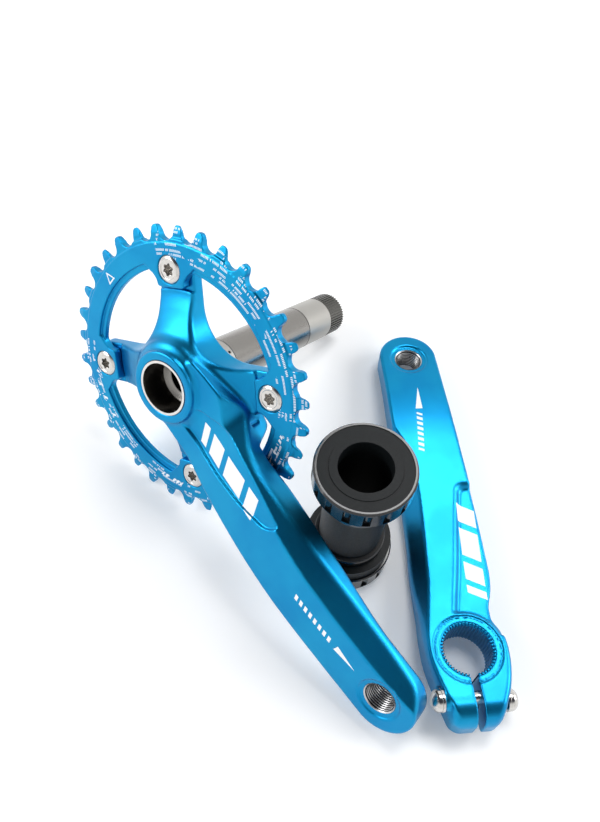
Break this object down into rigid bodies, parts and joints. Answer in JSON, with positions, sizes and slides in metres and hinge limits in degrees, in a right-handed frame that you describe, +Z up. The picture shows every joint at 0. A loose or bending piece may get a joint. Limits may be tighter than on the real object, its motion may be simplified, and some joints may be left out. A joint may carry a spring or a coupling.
{
  "type": "bicycle crankset",
  "caption": "Two-piece bicycle crankset with a single narrow-wide chainring, its threaded bottom bracket and its left arm, laid out as a kit.",
  "frame": {"origin": "the bottom bracket's axis at the surface that the set lies on", "axes": "+Z up along the bottom bracket's axis; the drive-side crank lies towards -X"},
  "size_m": [0.2179, 0.2519, 0.1311],
  "materials": {
    "blue_anodised": "satin bead-blasted, anodised blue",
    "ground_steel": "ground",
    "polished_steel": "bright plated",
    "black_anodised": "gloss black anodised",
    "black_plastic": "matte",
    "cage_plastic": "moulded",
    "black_rubber": "matte",
    "bearing_steel": "ground and polished"
  },
  "bodies": {
    "drive_crank": {"drive_arm": "blue_anodised", "spindle": "ground_steel", "chainring": "blue_anodised", "chainring_bolts": "polished_steel", "chainring_nuts": "polished_steel"},
    "bottom_bracket": {"bb_cup_lower": "black_anodised", "bb_cup_upper": "black_anodised", "bb_sleeve": "black_plastic", "bb_spacers": "black_plastic", "bb_o_rings": "black_rubber", "outer_race_lower": "bearing_steel", "outer_race_upper": "bearing_steel", "seal_lower": "black_rubber", "seal_upper": "black_rubber", "dust_cover_lower": "black_plastic", "dust_cover_upper": "black_plastic"},
    "inner_lower": {"inner_race_lower": "bearing_steel", "top_hat_bush_lower": "black_plastic"},
    "inner_upper": {"inner_race_upper": "bearing_steel", "top_hat_bush_upper": "black_plastic"},
    "cage_lower": {"ball_cage_lower": "cage_plastic", "balls_lower": "bearing_steel"},
    "cage_upper": {"ball_cage_upper": "cage_plastic", "balls_upper": "bearing_steel"},
    "left_arm": {"left_arm": "blue_anodised"},
    "pinch_washer_upper": {"pinch_washer_upper": "polished_steel"},
    "pinch_bolt_upper": {"pinch_bolt_upper": "polished_steel"},
    "pinch_washer_lower": {"pinch_washer_lower": "polished_steel"},
    "pinch_bolt_lower": {"pinch_bolt_lower": "polished_steel"}
  },
  "joints": [
    {"name": "bottom_bracket_lift", "type": "slide", "parent": "drive_crank", "child": "bottom_bracket", "axis": [0.2873, 0, 0.9578], "range_m": [0, 0.1]},
    {"name": "left_arm_lift", "type": "slide", "parent": "drive_crank", "child": "left_arm", "axis": [0.35, 0, 0.9367], "range_m": [0, 0.1]},
    {"name": "inner_race_lower_spin", "type": "hinge", "parent": "bottom_bracket", "child": "inner_lower", "pos_m": [0, 0, 0.005], "axis": [0, 0, 1], "continuous": true},
    {"name": "ball_cage_lower_spin", "type": "hinge", "parent": "bottom_bracket", "child": "cage_lower", "pos_m": [0, 0, 0.005], "axis": [0, 0, 1], "continuous": true},
    {"name": "inner_race_upper_spin", "type": "hinge", "parent": "bottom_bracket", "child": "inner_upper", "pos_m": [0, 0, 0.083], "axis": [0, 0, 1], "continuous": true},
    {"name": "ball_cage_upper_spin", "type": "hinge", "parent": "bottom_bracket", "child": "cage_upper", "pos_m": [0, 0, 0.083], "axis": [0, 0, 1], "continuous": true},
    {"name": "pinch_washer_upper_slide", "type": "slide", "parent": "left_arm", "child": "pinch_washer_upper", "axis": [-0.9966, -0.0819, 0], "range_m": [0, 0.0015]},
    {"name": "pinch_bolt_upper_turn", "type": "hinge", "parent": "pinch_washer_upper", "child": "pinch_bolt_upper", "pos_m": [0.03997, -0.0785, 0.01599], "axis": [-0.9966, -0.0819, 0], "range_deg": [0, 540.01]},
    {"name": "pinch_washer_lower_slide", "type": "slide", "parent": "left_arm", "child": "pinch_washer_lower", "axis": [0.9966, 0.0819, 0], "range_m": [0, 0.0015]},
    {"name": "pinch_bolt_lower_turn", "type": "hinge", "parent": "pinch_washer_lower", "child": "pinch_bolt_lower", "pos_m": [0.07073, -0.07665, 0.00852], "axis": [0.9966, 0.0819, 0], "range_deg": [0, 540.01]}
  ],
  "couplings": [
    {"joint": "ball_cage_lower_spin", "follows": "inner_race_lower_spin", "ratio": 0.44364},
    {"joint": "ball_cage_upper_spin", "follows": "inner_race_upper_spin", "ratio": 0.44364},
    {"joint": "pinch_bolt_upper_turn", "follows": "pinch_washer_upper_slide", "rad_per_m": 6283.2},
    {"joint": "pinch_bolt_lower_turn", "follows": "pinch_washer_lower_slide", "rad_per_m": 6283.2}
  ]
}
